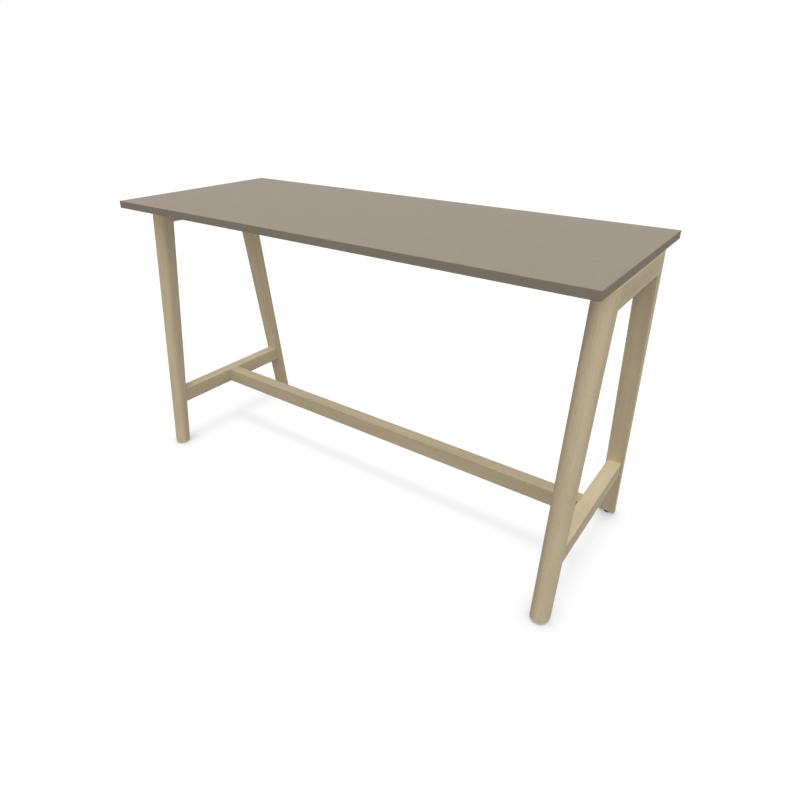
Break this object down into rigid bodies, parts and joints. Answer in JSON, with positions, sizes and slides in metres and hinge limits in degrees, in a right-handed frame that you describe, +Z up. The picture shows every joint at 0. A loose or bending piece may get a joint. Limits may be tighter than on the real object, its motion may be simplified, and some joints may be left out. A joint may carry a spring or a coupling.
{
  "type": "high table",
  "caption": "Long high table: laminated board with banded edges on splayed solid-wood end frames, tied by a low stretcher, on levelling glides.",
  "frame": {"origin": "on the floor at the middle of the table", "axes": "+X along the table to the right as seen from the front, +Y from front to rear, +Z up"},
  "size_m": [1.8, 0.7, 1.05],
  "materials": {
    "laminate": "matt greige melamine on chipboard",
    "edge_band": "matt greige plastic band",
    "pale_wood": "pale solid wood, clear matt lacquer",
    "dowel_wood": "bare beech dowel",
    "zinc_steel": "zinc-plated steel",
    "beam_paint": "black powder coat on steel",
    "black_plastic": "black moulded plastic"
  },
  "bodies": {
    "table": {"tabletop_board": "laminate", "under_top_beam": "beam_paint", "top_spacers": "black_plastic", "edge_band_front": "edge_band", "edge_band_rear": "edge_band", "edge_band_left": "edge_band", "edge_band_right": "edge_band", "leg_front_left": "pale_wood", "leg_front_right": "pale_wood", "leg_rear_left": "pale_wood", "leg_rear_right": "pale_wood", "top_rail_left": "pale_wood", "top_rail_right": "pale_wood", "side_rail_left": "pale_wood", "side_rail_right": "pale_wood", "stretcher": "pale_wood", "top_rail_dowels": "dowel_wood", "side_rail_dowels": "dowel_wood", "stretcher_dowels": "dowel_wood", "stretcher_studs": "zinc_steel", "stretcher_nuts": "zinc_steel", "stretcher_half_moons": "zinc_steel", "top_screws": "zinc_steel", "top_screw_washers": "zinc_steel", "beam_bolts": "zinc_steel", "beam_board_screws": "zinc_steel", "stretcher_stud_inserts": "zinc_steel", "top_inserts": "zinc_steel", "beam_inserts": "zinc_steel", "glide_inserts": "zinc_steel"},
    "glide_front_left": {"glide_pad_front_left": "black_plastic", "glide_stem_front_left": "zinc_steel"},
    "glide_front_right": {"glide_pad_front_right": "black_plastic", "glide_stem_front_right": "zinc_steel"},
    "glide_rear_left": {"glide_pad_rear_left": "black_plastic", "glide_stem_rear_left": "zinc_steel"},
    "glide_rear_right": {"glide_pad_rear_right": "black_plastic", "glide_stem_rear_right": "zinc_steel"}
  },
  "joints": [
    {"name": "glide_front_left_level", "type": "slide", "parent": "table", "child": "glide_front_left", "axis": [0, 0, -1], "range_m": [0, 0.01]},
    {"name": "glide_front_right_level", "type": "slide", "parent": "table", "child": "glide_front_right", "axis": [0, 0, -1], "range_m": [0, 0.01]},
    {"name": "glide_rear_left_level", "type": "slide", "parent": "table", "child": "glide_rear_left", "axis": [0, 0, -1], "range_m": [0, 0.01]},
    {"name": "glide_rear_right_level", "type": "slide", "parent": "table", "child": "glide_rear_right", "axis": [0, 0, -1], "range_m": [0, 0.01]}
  ]
}
